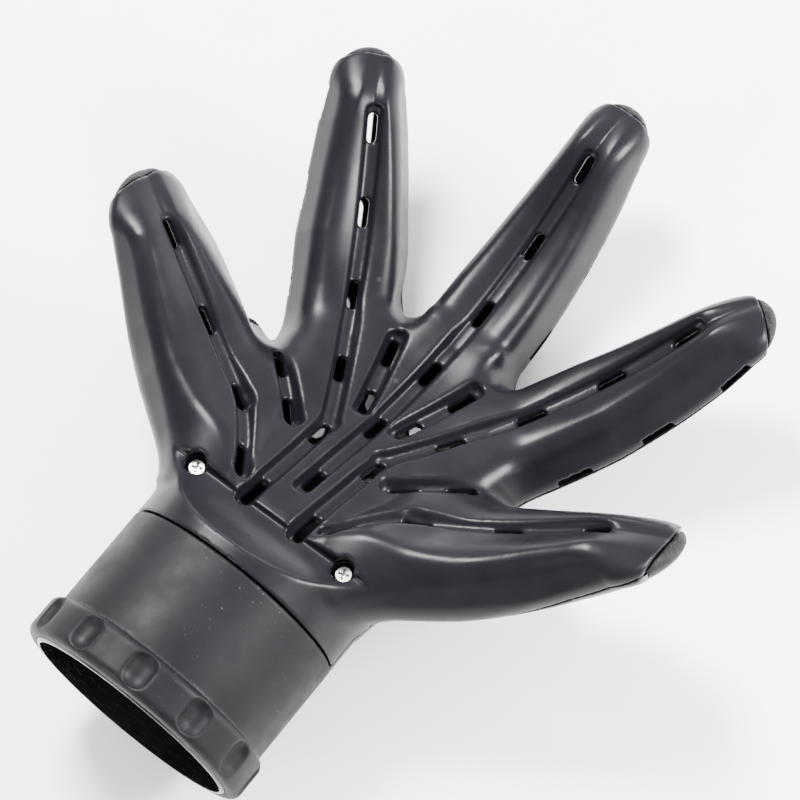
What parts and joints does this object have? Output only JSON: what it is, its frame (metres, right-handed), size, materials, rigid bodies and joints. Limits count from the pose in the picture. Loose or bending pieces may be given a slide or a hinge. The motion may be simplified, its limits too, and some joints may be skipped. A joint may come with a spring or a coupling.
{
  "type": "dryer diffuser",
  "caption": "Hand-shaped hair dryer diffuser: hollow slotted palm and fingers, dished to cup the scalp, on a turning rubber-sleeved socket collar.",
  "frame": {"origin": "centre of the socket mouth, where the hair dryer goes in", "axes": "+Y from the mouth along the socket axis to the fingertips, +Z out of the palm, +X to the little finger side"},
  "size_m": [0.2004, 0.2412, 0.0768],
  "materials": {
    "shell_plastic": "satin moulded black plastic",
    "sleeve_rubber": "matte soft-touch black rubber",
    "liner_plastic": "polished black plastic",
    "lip_rubber": "smooth black silicone",
    "pad_rubber": "stippled black rubber",
    "screw_steel": "bright nickel plated steel"
  },
  "bodies": {
    "hand": {"front_shell": "shell_plastic", "back_shell": "shell_plastic", "wrist_screw_left": "screw_steel", "wrist_screw_right": "screw_steel", "tip_pad_thumb": "pad_rubber", "tip_pad_index": "pad_rubber", "tip_pad_middle": "pad_rubber", "tip_pad_ring": "pad_rubber", "tip_pad_little": "pad_rubber"},
    "collar": {"collar_liner": "liner_plastic", "rubber_sleeve": "sleeve_rubber", "nozzle_grip_ring": "lip_rubber"}
  },
  "joints": [
    {"name": "collar_swivel", "type": "hinge", "parent": "hand", "child": "collar", "pos_m": [0, 0.0425, 0], "axis": [0, 1, 0], "continuous": true}
  ]
}
